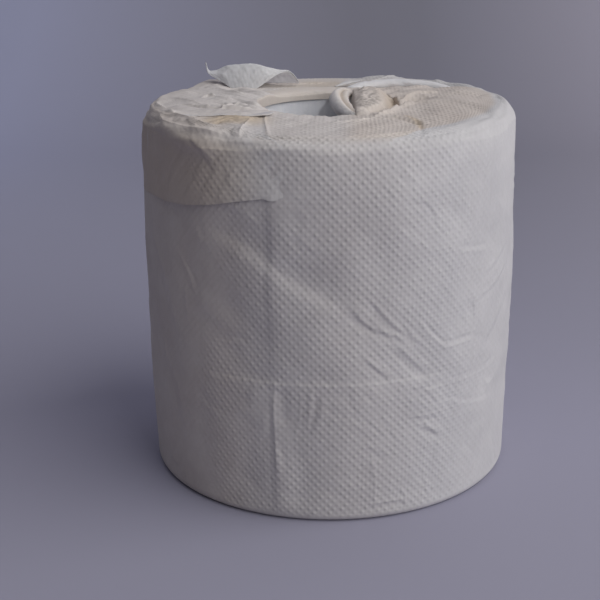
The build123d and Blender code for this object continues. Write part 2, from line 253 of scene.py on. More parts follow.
# Creases of the sleeve, as (azimuth, height) places, width, rise and kind, which is fold where none is given
sleeve_creases = [
    ([(232, 79), (242, 76.5), (251.4, 72.8), (256.7, 68.9), (263.1, 65.6), (271.8, 61.5), (276.2, 58.5)],
     2.6, 0.85, "valley"),
    ([(275.4, 58.9), (279, 56.2), (283, 53.4)], 1.8, 0.14),
    ([(282.1, 60.3), (284.7, 57), (288.2, 53.5), (291.3, 51.5)], 0.9, 0.13),
    ([(276.2, 58), (278.5, 55.8), (280.7, 54.1), (284.2, 52.5), (288.9, 50.7), (291.9, 48.8)], 0.9, 0.12),
    ([(292.2, 52.2), (293.5, 50.2), (296.4, 48.1)], 0.8, 0.12),
    ([(317.1, 46.7), (310.1, 46.4), (305.4, 46.5), (301.7, 48.9), (298.9, 51.5), (297.2, 54.2)], 0.8, 0.12),
    ([(288.3, 48.7), (292, 45), (295.9, 41.7), (299, 39.6)], 1.5, 0.16),
    ([(292, 46), (296.5, 41.5), (300, 39)], 2.8, 0.3, "valley"),
    ([(279.4, 45.7), (282.5, 43.3), (285.5, 41.1), (287.9, 39.2)], 0.9, 0.13),
    ([(332.9, 37.2), (322, 35.8), (310.6, 36), (304.3, 37.1)], 0.9, 0.05),
    ([(296.7, 35.2), (300.8, 35.6), (304.3, 36)], 0.8, -0.1),
    ([(327.8, 26.5), (320.4, 27.3), (312.6, 28.9), (309.2, 30.4), (304.5, 31.2), (298.2, 29.9)], 0.8, 0.055),
    ([(293.6, 28.2), (298.9, 27.5), (303.2, 27.5)], 0.8, 0.1),
    ([(297.6, 25.1), (300.6, 23.4), (304, 21.5)], 1, 0.2),
    ([(313.1, 54), (316.7, 54.3)], 2.6, -0.3, "swell"),
    ([(281.9, 20), (283.1, 11.9), (283.5, 3)], 0.9, 0.14, "ridge"),
    ([(291, 9), (292.8, 6), (293, 2.6)], 0.8, 0.15, "ridge"),
    ([(281, 4.2), (288, 4.6), (293.5, 4.2)], 0.8, 0.14),
    ([(254.6, 39), (254, 33), (254.2, 24.6), (254.9, 12)], 0.9, 0.3, "ridge"),
    ([(256.8, 38.5), (256.6, 34), (256.9, 27)], 1.8, -0.34, "swell"),
    ([(264.8, 38.4), (264.6, 33), (263.8, 27)], 1, 0.22, "ridge"),
    ([(262.2, 37), (261.4, 30), (260, 24)], 0.9, 0.14, "ridge"),
    ([(267.4, 36.2), (266.6, 31), (264.6, 26)], 1.2, 0.14),
    ([(309, 71.5), (316, 70.2), (323, 69.4)], 1, -0.1),
    ([(306, 84), (309, 80.5), (312, 79)], 2.6, -0.16, "swell"),
    ([(326, 90), (331, 92), (335, 91)], 2, -0.2, "swell"),
    ([(283, 88), (290, 80), (296, 70), (299, 60)], 7, 0.18, "swell"),
    ([(262, 56), (270, 50), (280, 40)], 6, 0.3, "swell"),
    ([(240, 62), (246, 50), (249, 36)], 6, -0.42, "swell"),
    ([(246, 30), (246, 20), (245, 6)], 4, -0.35, "swell"),
    ([(272, 30), (274, 20), (273, 8)], 5, 0.25, "swell"),
    ([(262, 22), (262.5, 14), (262, 4)], 3.5, -0.25, "swell"),
    ([(226, 56), (236, 53), (246, 44)], 4, 0.14),
    ([(322, 62), (330, 65), (338, 69)], 1, 0.1),
    ([(318, 56), (328, 58), (338, 62.5)], 1, 0.1),
    ([(322, 43), (330, 47), (338, 54)], 1.4, 0.12),
    ([(200, 70), (212, 60), (218, 45)], 2.4, 0.12),
    ([(206, 40), (216, 30), (219, 16)], 2.4, 0.12),
    ([(350, 88), (356, 76), (2, 60)], 2, 0.24),
    ([(12, 76), (28, 70), (46, 62)], 2, 0.26),
    ([(20, 40), (34, 45), (52, 42)], 1.6, 0.22),
    ([(75, 46), (88, 40), (100, 34)], 1.6, 0.26),
    ([(64, 84), (72, 74), (74, 60)], 2, 0.24),
    ([(112, 72), (120, 58), (127, 42)], 2.4, 0.4, "valley"),
    ([(140, 30), (152, 36), (168, 34)], 1.6, 0.22),
    ([(150, 86), (156, 74), (160, 60)], 2, 0.24),
    ([(172, 50), (182, 44), (190, 40)], 1.8, 0.2),
]

# Creases of the top face, as (x, y) places
top_creases = [
    ([(-15, -14.5), (-16.3, -24), (-15.8, -34), (-14.6, -46)], 0.9, 0.5, "ridge"),
    ([(-18.3, -27.5), (-20, -33), (-21.3, -40), (-22, -45)], 0.8, 0.45, "ridge"),
    ([(-29, -16), (-27, -11), (-24, -7)], 1.3, 0.7, "ridge"),
    ([(-36, 7), (-33, 5), (-29, 2), (-23, -3)], 1.8, 0.5, "ridge"),
    ([(-35.5, 3.5), (-33.5, 5), (-31.5, 4)], 1.3, 0.8, "ridge"),
    ([(-44, -14), (-38, -17.5), (-31, -19.5), (-24, -19.8)], 1, 0.4, "ridge"),
    ([(-40, -8), (-34, -11.5), (-27, -14), (-20, -15)], 1, 0.5),
    ([(-33, 22), (-29, 14), (-23.5, 6)], 2.6, 0.7, "ridge"),
    ([(-44, 4), (-38, -3), (-33, -10), (-31, -17)], 2.2, 0.5, "ridge"),
    ([(-26, 2), (-22.5, -4), (-18.5, -11)], 1.2, 0.4),
    ([(-30, -3), (-24, -9), (-18, -14)], 1.2, 0.4),
    ([(-47, -3), (-45.5, -10), (-43, -15)], 1.1, 0.8, "ridge"),
    ([(-42.5, -17.5), (-39, -25), (-35, -31), (-31, -36), (-27, -39)], 2.2, 1.1, "ridge"),
    ([(19.8, -23.8), (22.5, -30.5), (22.7, -38), (22.4, -46)], 1.2, -0.35, "ridge"),
    ([(14, -26), (19, -27), (24, -33)], 1.3, 0.4),
    ([(0, -31), (5, -29.5), (11, -26.5)], 1.3, 0.5, "ridge"),
    ([(11.5, -24.8), (15.5, -19.5), (18.5, -12), (21.5, -8), (25, -4)], 2.4, 1.5, "ridge"),
    ([(19.5, 1), (22.3, 5.5), (25.5, 8), (31, 9.5)], 1.1, 1, "ridge"),
    ([(15.5, -12), (19, -5), (23, 0.5), (28, 4)], 3.1, -1.8, "swell"),
    ([(6, 24), (15, 30), (24, 31.5), (34, 27), (42, 20)], 1.6, 0.8),
    ([(8, 30), (16, 38), (22, 45)], 2, 0.6, "ridge"),
    ([(20, 16), (28, 24), (36, 30)], 3, 0.5),
    ([(-12, 34), (-4, 36), (6, 35)], 2.2, 0.4),
    ([(-28, 24), (-22.5, 14.5), (-18.5, 8)], 2.4, 0.6),
    ([(34, -6), (40, -14), (42, -22)], 3, 0.3),
    ([(33, 8), (40, 6), (45, 2)], 3, 0.3),
]


# Mounds and dips of the top face, as rise, place along x and y, and reach along x and y
top_mounds = [(1.5, -35, 30, 6, 7), (1.0, 33, 0, 13, 26), (-1.5, -2, 46, 13, 9), (0.5, 15, 40, 11, 8)]


def loose_creases(out, u, z):
    """Short faint folds all over the sleeve, as handling leaves them."""
    draw = np.random.default_rng(21)
    for _ in range(170):
        centre = np.array([draw.uniform(0, 2 * pi * skin_radius), draw.uniform(5, 92)])
        turn = draw.choice([draw.normal(-0.7, 0.35), draw.normal(0.25, 0.4), draw.normal(1.5, 0.2)])
        half = draw.uniform(1.5, 6) * np.array([cos(turn), sin(turn)])
        path = [centre - half, centre + draw.normal(0, 1, 2), centre + half]
        width = draw.uniform(0.7, 1.5)
        crease(out, u, z, path, width, draw.uniform(0.03, 0.09) * draw.choice([-1, 1]))


def sleeve_relief(azimuth, z):
    """Creases, the lap's step and the band's step, on the sleeve."""
    u = skin_radius * np.radians(azimuth % 360)
    out = np.zeros(u.shape)
    for path, *form in sleeve_creases:
        places = np.array(path, float)
        places[:, 0] = np.unwrap(places[:, 0], period=360)
        for turn in (-360, 0, 360):
            shifted = [(skin_radius * radians(a + turn), h) for a, h in places]
            crease(out, u, z, shifted, *form)
    loose_creases(out, u, z)
    turn = azimuth % 360
    lap_line = lap_azimuth + 0.4 * np.sin(z / 14) + 0.2 * np.sin(z / 3.7)
    lap = smooth(lap_line - 3, lap_line, turn) * (1 - smooth(lap_line, lap_azimuth + 7.1, turn))
    out += lap_step * lap * window(1, 4, 84, 90, z) * (0.7 + 0.3 * np.sin(z / 9))
    band_edge = band_height + 0.9 * np.sin(np.radians((turn - 234) * 2.4)) + 0.2 * np.sin(turn * 0.9)
    below = 1 - smooth(band_edge - 0.5, band_edge + 0.5, z)
    out += band_step * window(228, 236, 296, 311, turn) * below * smooth(2, 30, z)
    return out + crumples(u, z, (0.14, 9.0, 15), (0.05, 4.0, 16))


def top_relief(points):
    """Creases, mounds and the pocket's step, on the top face."""
    x, y = points[..., 0], points[..., 1]
    out = np.zeros(x.shape)
    for one in top_creases:
        crease(out, x, y, *one)
    for rise, at_x, at_y, wide, long in top_mounds:
        out += rise * hump(x, at_x, wide) * hump(y, at_y, long)
    crumpled = smooth(-13, -22, x) * window(-23.5, -21, 28, 38, y)
    out += crumpled * (crumples(x, y, (0.18, 3.6, 3), (0.1, 1.8, 4)) + 0.8 - 0.8 * smooth(12, 22, y))
    laid_back = smooth(-14, -24, x) * (1 - smooth(-26, -23.5, y))
    out += laid_back * (crumples(x, y, (0.5, 4.0, 8), (0.3, 2.2, 9)) + 0.3)
    behind = smooth(-8, 4, x) * smooth(18, 26, y)
    out += behind * (crumples(x, y, (0.3, 4.4, 12), (0.12, 2.2, 13)) - 0.45)
    out += 0.12 * crumple(x, y, 3.4, 14) * (1 - crumpled)
    pocket_line = -23.0 + 0.02 * (x + 16)
    step = smooth(pocket_line + 0.5, pocket_line - 0.5, y) * smooth(-14.5, -17, x) * smooth(-43, -39, x)
    return out - 0.1 * step * (1 - smooth(3, 12, pocket_line - y))


def relief(azimuth, travel, points):
    """How far the skin stands out from its even form, without its dots."""
    turn = np.radians(azimuth)
    slack = np.minimum(1, 4 * np.clip(3 - travel, 0, 1))
    wave = np.sin(5 * turn + 2.1 * travel) + np.sin(8 * turn - 9 * travel)
    wave += 0.6 * np.sin(13 * turn + 17 * travel)
    out = slack * (0.13 * wave + 0.16 * ripples(points, 15, 5))
    out += smooth(1.9, 2.05, travel) * (travel < 3) * sleeve_relief(azimuth, points[..., 2])
    out += (1 - smooth(1.1, 1.75, travel)) * top_relief(points)
    swing = 23 * turn + 1.6 * np.sin(3 * turn) + 0.9 * np.sin(7 * turn)
    back_rim = smooth(0.25, 0.6, np.cos(np.radians(azimuth - 130)))
    near_mouth = (1 - smooth(0.0, 0.75, travel)) * (travel < 1) * (1 - 0.9 * back_rim)
    front = smooth(0.2, 0.9, -np.sin(turn))
    out += near_mouth * (0.3 - 0.22 * front) * (0.6 + np.sin(swing) + 0.4 * np.sin(2 * swing + 1))
    left = np.clip(np.cos(np.radians(azimuth - 172)), 0, 1) ** 3
    out -= 1.1 * left * np.clip(1 - np.abs(travel - 1.5) / 0.7, 0, 1)
    out -= np.clip(np.cos(np.radians(azimuth - 280)), 0, 1) * hump(travel, 1.3, 0.42)
    out -= 0.5 * hump(azimuth, 98, 26) * (1 - smooth(0.5, 0.95, travel))
    spare = np.interp(travel, [0, 1, 1.6, 1.95, 2], [0.5, 1.05, 1.15, 0.4, 0.3])
    spare = spare + waist_slack * np.sin(pi * np.clip(travel - 2, 0, 1))
    return np.maximum(out, -spare)


def dot_places(azimuth, travel, points):
    """Where each place lies on the embossing's lattice, across and along it, in steps."""
    turn = np.mod(azimuth - 270, 360)
    front_turn = np.where(turn <= 90, turn, np.where(turn <= 270, 180 - turn, turn - 360))
    sleeve_across = front_turn / 360 * dot_steps
    sleeve_along = (rim_run * np.clip(2 - travel, 0, 1) - sleeve_run * np.clip(travel - 2, 0, 1)) / dot_rise
    top_across = points[..., 0] / dot_width
    top_along = (rim_run + flat_radius - np.abs(points[..., 1])) / dot_rise
    share = smooth(0.8, 1.4, travel)
    across = top_across * (1 - share) + sleeve_across * share
    along = top_along * (1 - share) + sleeve_along * share
    return across + 0.1 * np.sin(along / 7 + 2 * np.sin(across / 11)), along


def dots(across, along):
    """The embossing: near 1 in a dot's middle, and a little under 0 between the dots."""
    first, second = (across + along) / 2, (across - along) / 2
    first, second = first - np.round(first), second - np.round(second)
    aside = (first + second) * dot_width / dot_half
    above = (first - second) * dot_rise / dot_half
    return np.exp(-aside * aside - above * above) - 0.2


def dot_strength(azimuth, travel, points):
    """How clear the embossing is: pressed flat where the sheet is stretched or folded."""
    a = azimuth % 360
    on_sleeve = smooth(1.9, 2.1, travel)
    edge = np.interp(points[..., 2], [0, 30, 50, 62, 70, 83, 100], [236, 233, 236, 246, 240, 235, 228])
    front = smooth(edge - 9, edge + 3, a) * (1 - smooth(338, 352, a))
    behind = 0.75 * (smooth(352, 362, a) + (1 - smooth(196, 206, a)))
    strength = np.clip(0.14 + 0.86 * np.maximum(front, behind), 0, 1)
    strength = strength * (1 - 0.75 * on_sleeve * window(298, 326, 345, 352, a))
    strength = strength * (1 - 0.5 * smooth(0.35, 0.9, ripples(points, 26, 11)))
    side = np.abs(np.sin(np.radians(a)))
    rim = 1 - window(0.75, 1.1, 1.8, 2.15, travel) * (1 - smooth(0.6, 0.85, side))
    top_left = 1 - 0.4 * smooth(-12, -20, points[..., 0]) * (1 - on_sleeve)
    return strength * rim * top_left * (1 - smooth(2.99, 3.3, travel))


def travels():
    """Travel of each row of the skin's lattice."""
    counts = enumerate((rows_top, rows_rim, rows_sleeve, rows_foot))
    return np.concatenate([start + np.arange(count) / count for start, count in counts] + [[4]])


def grid_normals(points, wrapped):
    """Directions of a lattice of points, by the difference of neighbours."""
    down = np.gradient(points, axis=0)
    if wrapped:
        across = (np.roll(points, -1, 1) - np.roll(points, 1, 1)) / 2
    else:
        across = np.gradient(points, axis=1)
    normal = np.cross(down, across)
    length = np.linalg.norm(normal, axis=-1, keepdims=True)
    return normal / np.maximum(length, 1e-12)


def placed(name, data):
    """A new object of the scene, with its data."""
    made = bpy.data.objects.new(name, data)
    bpy.context.scene.collection.objects.link(made)
    return made


def grid_piece(name, points, masks, material, wrapped=False, normals=None):
    """A mesh over a lattice of points, with its masks as attributes and the directions given, if any."""
    rows, cols = points.shape[:2]
    mesh = bpy.data.meshes.new(name)
    mesh.vertices.add(rows * cols)
    mesh.vertices.foreach_set("co", (points.reshape(-1) / METRE).astype(np.float32))
    wide = cols if wrapped else cols - 1
    r, c = np.meshgrid(np.arange(rows - 1), np.arange(wide), indexing="ij")
    after = (c + 1) % cols
    corners = [r * cols + c, (r + 1) * cols + c, (r + 1) * cols + after, r * cols + after]
    quads = np.stack(corners, -1).reshape(-1, 4)
    mesh.loops.add(quads.size)
    mesh.loops.foreach_set("vertex_index", quads.reshape(-1).astype(np.int32))
    mesh.polygons.add(len(quads))
    mesh.polygons.foreach_set("loop_start", (4 * np.arange(len(quads))).astype(np.int32))
    mesh.polygons.foreach_set("use_smooth", np.ones(len(quads), bool))
    mesh.update(calc_edges=True)
    for key, values in masks.items():
        full = np.broadcast_to(values, points.shape[:2]).astype(np.float32)
        mesh.attributes.new(key, "FLOAT", "POINT").data.foreach_set("value", full.reshape(-1))
    if normals is not None:
        mesh.normals_split_custom_set_from_vertices(normals.reshape(-1, 3).astype(np.float32))
    piece = placed(name, mesh)
    mesh.materials.append(material)
    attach(piece, "root")
    return piece


def smooth_piece(name, points, masks, material, wrapped=False):
    """A piece with the directions of its own lattice."""
    return grid_piece(name, points, masks, material, wrapped, grid_normals(points, wrapped))


def skin_masks(azimuth, travel, points):
    """How much painted warm shade and painted khaki shade each place of the skin gets."""
    x, y = points[..., 0], points[..., 1]
    a = azimuth % 360
    top = 1 - smooth(1.15, 1.75, travel)
    # Painted warm shade on the top face; on its right the line marks where that shade ends and the lit sleeve
    # begins
    line = [(6.8, 22.6), (15.3, 29.6), (24, 31), (35, 25), (44, 14), (45, 0), (43, -14), (36, -27), (27, -36)]
    signed, _ = beside(spline(line), x, y)
    right_side = smooth(2, 8, x)
    warm_shade = 0.55 * top * (1 - right_side) + 0.95 * top * right_side * smooth(-1.2, 1.2, -signed)
    # Painted warm shade on the shaded left and front of the sleeve, most on the left
    warm_shade += (0.3 + 0.3 * (1 - smooth(228, 262, a))) * window(140, 190, 270, 310, a) * (1 - top)
    # More painted warm shade on the rim at the top's left
    warm_shade += 0.2 * smooth(-16, -28, x) * smooth(0.8, 1.2, travel)
    # Painted khaki shade under the pocket's edge, behind the mouth and in the fold on the top's right
    khaki_shade = 0.6 * hump(x, -23.5, 8, 4) * hump(y, -28.5, 7.3, 4) * smooth(-22.6, -23.6, y)
    khaki_shade = khaki_shade + 0.35 * hump(x, -1, 16) * hump(y, 34, 9)
    fold, _ = beside(spline([(19.8, -23.8), (22.5, -30.5), (22.7, -38)]), x, y)
    khaki_shade = khaki_shade + 0.5 * hump(fold, 0, 0.9) * top
    return {"warm_shade": np.clip(warm_shade, 0, 1), "khaki_shade": np.clip(khaki_shade, 0, 1)}


def steepened(normals, share):
    """The directions, turned up by a share of their length."""
    normals[..., 2] += share
    return unit(normals)


def skin():
    """The skin in slices of one lattice: the top with its rim, three thirds of the sleeve, and the foot."""
    travel = travels()[:, None]
    azimuth = (np.arange(columns) * 360.0 / columns)[None, :]
    travel, azimuth = np.broadcast_arrays(travel, azimuth)
    even, outward = even_skin(azimuth, travel)
    strength = dot_strength(azimuth, travel, even)
    across, along = dot_places(azimuth, travel, even)
    plain = even + outward * relief(azimuth, travel, even)[..., None]
    points = plain + outward * (dot_depth * dots(across, along) * strength)[..., None]
    points[..., 2] = np.maximum(points[..., 2], 0)
    below_rim = np.clip(travel - 2, 0, 1) * sleeve_run
    steeper = rim_steepness * smooth(1.3, 2, travel) * np.exp(-below_rim / 6)
    normals = steepened(grid_normals(plain, True), steeper)
    masks = skin_masks(azimuth, travel, even)
    ribbed = (1 - smooth(0.95, 1.3, travel)) * smooth(2, 12, even[..., 0])
    masks |= {"across": across, "along": along, "strength": strength, "ribbed": ribbed}

    def slice_of(name, rows, start=0, wide=columns):
        """A slice of the lattice, from row to row and some columns wide."""
        wrapped = wide == columns
        cols = np.arange(start, start + wide + (not wrapped)) % columns
        pick = np.ix_(np.arange(rows[0], rows[1] + 1), cols)
        part_masks = {key: values[pick] for key, values in masks.items()}
        return grid_piece(name, points[pick], part_masks, tissue, wrapped, normals[pick])

    first_sleeve = rows_top + rows_rim
    last_sleeve = first_sleeve + rows_sleeve
    starts = {"wrapper_sleeve_front": 210, "wrapper_sleeve_right": 330, "wrapper_sleeve_back": 90}
    pieces = [slice_of("wrapper_top", (0, first_sleeve))]
    for name, start in starts.items():
        pieces.append(slice_of(name, (first_sleeve, last_sleeve), start * columns // 360, columns // 3))
    pieces.append(slice_of("wrapper_foot", (last_sleeve, len(travels()) - 1)))
    return [*pieces, mouth_lip(points[0, ::2])]


def mouth_lip(edge):
    """The sheet's turn down into the mouth, to an even lower edge."""
    lip_roll = 0.5
    out = unit(edge * [1, 1, 0])
    low_edge = out * (mouth_radius - lip_roll) + np.array([0, 0, mouth_height - lip_depth])
    rows = [edge]
    for turn in np.radians(np.linspace(15, 90, 6)):
        rows.append(edge - out * (lip_roll * sin(turn)) - np.array([0, 0, lip_roll]) * (1 - cos(turn)))
    for share in np.linspace(0.2, 1, 6):
        rows.append(rows[6] * (1 - share) + low_edge * share)
    # Painted warm shade and a little painted khaki shade on the lip inside the mouth
    return smooth_piece("wrapper_mouth_lip", np.array(rows)[::-1], {"warm_shade": 0.8, "khaki_shade": 0.1}, tissue, True)


def base():
    """The base: gathered radial pleats, the turn into the core, and the tuck inside it."""
    count = columns // 2
    turn = np.radians(np.arange(count) * 360.0 / count)
    swing = 16 * turn + 1.3 * np.sin(3 * turn) + 0.8 * np.sin(5 * turn + 1)
    rows = []
    for radius in np.linspace(foot_radius, mouth_radius + 0.6, rows_base):
        share = (foot_radius - radius) / (foot_radius - mouth_radius)
        sunk = 0.55 * smooth(0, 0.3, share) * np.clip(np.sin(swing + 0.4 * share), 0, 1) ** 3
        sunk = sunk + 0.1 * smooth(0, 0.3, share) * (1 + np.sin(3 * swing + 2))
        rows.append(ring(radius, turn, sunk))
    pleats = 0.22 * np.clip(np.sin(swing), -1, 1)
    for step in np.linspace(0, 1, 30):
        drawn_in = 0.35 * np.abs(pleats) + 0.3 * step * np.abs(np.sin(2 * swing))
        radius = mouth_radius + 0.15 * (1 - step) - drawn_in
        z = 0.9 + step * (tuck_depth + 1.2 * np.sin(7 * turn) + 0.8 * np.sin(12 * turn + 1))
        rows.append(ring(radius, turn, z))
    # Painted warm shade on the base under the roll
    return smooth_piece("wrapper_base", np.array(rows), {"warm_shade": 0.3, "khaki_shade": 0.0}, tissue, True)


# The lapel's free edge, as azimuths and heights
lapel_edge_azimuths = [150, 152, 156, 163, 175, 194, 204, 214, 224, 235, 243.4, 251.7, 254.8, 258.5]
lapel_edge_heights = [96, 92.5, 88, 84, 80.8, 80.3, 81.5, 81.5, 82.2, 83.7, 85.4, 86.7, 86.3, 87.6]


def lapel():
    """The end of the sheet, laid back over the front left of the rim, with its curved free edge."""
    wide, long, turned_in = 330, 120, 12
    a, share = np.meshgrid(np.linspace(lapel_start, lapel_end, wide), np.linspace(0, 1, long))
    edge_z = np.interp(a, lapel_edge_azimuths, lapel_edge_heights)
    turn = np.radians(a)
    root = np.maximum(22.8 / np.abs(np.sin(turn)), 15.5 / np.maximum(np.abs(np.cos(turn)), 0.1))
    root = (root - mouth_radius) / (flat_radius - mouth_radius)
    start = np.minimum(root, np.interp(a, [150, 196, 206, 250, 258.5], [1.2, 1.15, 1.1, 1.3, 1.8]))
    travel = start + (sleeve_travel(edge_z) - start) * share
    even, outward = even_skin(a, travel)
    held_end = 1 - smooth(251, 257, a)
    lift = (0.12 + 0.3 * smooth(200, 215, a)) * smooth(0, 0.1, share) * smooth(150, 156, a) * held_end
    lift = lift * (1 - smooth(236, 250, a) * smooth(0.01, 0.1, 1 - share)) + 0.02
    flare = 0.14 * smooth(0.93, 1, share) * (1 + np.sin(5 * turn)) * held_end
    tip = 0.12 * hump(a, 254.2, 1.3) * smooth(0.96, 1, share)
    strength = dot_strength(a, travel, even) * np.clip(smooth(212, 230, a) + 1 - smooth(1, 1.3, travel), 0, 1)
    across, along = dot_places(a, travel, even)
    stand = relief(a, travel, even) + lift + flare + tip + lapel_relief(a, travel, share, even[..., 2])
    plain = even + outward * stand[..., None]
    outer = plain + outward * (dot_depth * dots(across, along) * strength)[..., None]
    depths = np.linspace(0.12, 0.3, turned_in)[:, None, None]
    inner = plain[-turned_in:][::-1] - outward[-turned_in:][::-1] * depths
    # Painted khaki shade on the lapel, with more low on its left, and painted warm shade most on its left,
    # away from the lamp
    khaki_shade = skin_masks(a, travel, even)["khaki_shade"]
    khaki_shade = khaki_shade + 0.24 * smooth(1.5, 2.0, travel) * window(150, 190, 238, 256, a)
    masks = {"warm_shade": 0.9 - 0.75 * smooth(226, 256, a), "khaki_shade": khaki_shade, "across": across, "along": along}
    masks |= {"strength": strength, "steeper": rim_steepness * smooth(1.3, 2, travel) * smooth(225, 245, a)}
    masks = {key: np.vstack([values, values[-turned_in:][::-1]]) for key, values in masks.items()}
    normals = steepened(grid_normals(np.vstack([plain, inner]), False), masks.pop("steeper"))
    return grid_piece("wrapper_lapel", np.vstack([outer, inner]), masks, tissue, False, normals)


def lapel_relief(azimuth, travel, share, z):
    """The lapel's own creases, and the ridge that runs down over the rim where it is laid back."""
    u, down = skin_radius * np.radians(azimuth), z + 8 * np.clip(2 - travel, 0, 1)
    out = np.zeros(travel.shape)
    for path, *form in lapel_creases:
        crease(out, u, down, [(skin_radius * radians(p), q) for p, q in path], *form)
    out = out + smooth(0.05, 0.2, share) * crumples(u, down, (0.12, 7, 17), (0.05, 3.4, 18))
    facets = smooth(1.9, 1.5, travel) * window(200, 208, 238, 246, azimuth)
    out = out + facets * crumples(u, down, (0.14, 2.6, 19), (0.06, 1.3, 20))
    ridge_travel = np.interp(azimuth, [190, 205, 218, 234], [1.0, 1.25, 1.6, 1.9])
    before_ridge = np.minimum(travel, ridge_travel)
    level = rim_radius * (1 / np.sin(np.radians(90 * (2 - np.clip(before_ridge, 1, 1.7)))) - 1)
    shelf = np.minimum(level + 0.2 * smooth(0.95, 1.2, before_ridge), 1.6)
    beyond = np.maximum(run_down(travel) - run_down(ridge_travel), 0)
    return out + window(188, 200, 233, 241, azimuth) * shelf * hump(beyond, 0, 2.4)


# Creases of the lapel, as (azimuth, height) places
lapel_creases = [
    ([(234, 96.8), (228.6, 89.1), (224.3, 83.4)], 0.9, 0.1),
    ([(240.2, 98), (235.8, 91.3), (231.1, 84.4)], 0.9, 0.1),
    ([(244.2, 95.8), (240.9, 90.6), (237.3, 85.2)], 0.9, 0.08),
    ([(226, 97), (219, 90), (215, 83)], 1, 0.12),
    ([(218, 98), (211, 90), (206, 82)], 1.2, 0.12),
    ([(229, 101), (233, 97), (237, 93)], 1.2, 0.2),
    ([(200, 98), (199, 91), (197, 85)], 1.6, 0.2),
    ([(188, 97), (186, 90), (184, 83)], 1.6, 0.2),
    ([(170, 96), (174, 90), (176, 84)], 1.6, 0.2),
    ([(157, 95), (160, 90), (163, 85)], 1.6, 0.2),
]


def pocket_edge():
    """The straight edge of the crumpled top layer, over the lapel's root."""
    path = [(-43, -20.5), (-39, -23.2), (-31, -23), (-24, -23.2), (-19, -23.4), (-15.4, -22.6), (-14.5, -17)]
    profile = [(-5, 0.2), (-3, 0.5), (-1.2, 0.72), (0, 0.78), (0.3, 0.7), (0.25, 0.5), (-0.4, 0.35),
               (-2, 0.3)]
    line = spline(path, 14)
    ahead = unit(np.gradient(line, axis=0))
    out = np.stack([ahead[:, 1], -ahead[:, 0]], -1)
    share = np.linspace(0, 1, len(line))
    swell = np.minimum(1, 6 * np.minimum(share + 0.05, 1.05 - share))
    rows = []
    for forward, rise in spline(profile, 4):
        rows.append(np.column_stack([line + out * forward, mouth_height + 0.35 + rise * swell]))
    points = np.array(rows)
    points[..., 2] += 0.2 * ripples(points, 7, 31) + 0.12 * crumple(points[..., 0], points[..., 1], 3, 32)
    # A little painted warm shade on the pocket's edge
    return smooth_piece("wrapper_pocket_edge", points, {"warm_shade": 0.25, "khaki_shade": 0.0}, tissue)


def hem():
    """The smooth rolled hem inside the mouth, round its back and left; it gets narrower to the right."""
    azimuth = np.linspace(hem_start, hem_end, 220)
    turn = np.radians(azimuth)
    tall = np.interp(azimuth, [hem_start, 95, 130, 165, hem_end], [0.5, 0.75, 1.4, 2.0, 1.6])
    profile = [(7.5, 0.1), (5.0, 0.45), (2.6, 0.6), (0.9, 0.5), (0.0, 0.1), (-0.3, -0.3), (-0.35, -0.6)]
    rows = []
    for out, rise in spline(profile, 5):
        sunk = (2.0 - tall) * 0.45 * smooth(8, 1, out)
        rows.append(ring(mouth_radius + out, turn, mouth_height + rise - sunk))
    rolled_edge = rows[-1][:, 2]
    for share, inset in ((0.35, 0.42), (0.7, 0.45), (0.93, 0.45), (1.0, 0.38), (1.0, 0.1), (0.9, 0.0)):
        z = rolled_edge * (1 - share) + (mouth_height - hem_depth) * share
        rows.append(ring(mouth_radius - inset, turn, z))
    points = np.array(rows)
    points += 0.03 * ripples(points, 4, 41)[..., None]
    # Painted warm shade and some painted khaki shade on the hem inside the mouth
    return smooth_piece("wrapper_hem", points, {"warm_shade": 0.75, "khaki_shade": 0.15}, thin_tissue)


# Turns round a rolled fold, from its side over its top
fold_turns = np.linspace(0, 2 * pi, 110)[:, None]


def rolled_fold(name, path, radii, flat, seed, depth, masks, groove=0.0):
    """A rolled fold along a path over the mouth's edge, with crumples depth deep and a groove."""
    line = spline(path, 26) + [0, 0, mouth_height]
    share = np.linspace(0, 1, len(line))
    radius = np.interp(share, np.linspace(0, 1, len(radii)), radii)
    ahead = unit(np.gradient(line, axis=0))
    side = unit(np.cross(ahead, [0, 0, 1.0]))
    up = np.cross(side, ahead)
    length = np.linalg.norm(np.diff(line, axis=0), axis=1).sum()
    run, girth = np.broadcast_arrays(share * length, fold_turns * radius.mean())
    rough = crumples(run, girth, (0.6, 2.8, seed), (0.3, 1.2, seed + 1))
    rough = rough * window(0, 0.5, 2 * pi - 0.5, 2 * pi, fold_turns)
    reach = radius * (1 - groove * hump(fold_turns, 1.25, 0.45)) + depth * rough
    points = line + side * (reach * np.cos(fold_turns))[..., None]
    points = points + up * (flat * reach * np.sin(fold_turns))[..., None]
    return smooth_piece(name, points, masks, thin_tissue)


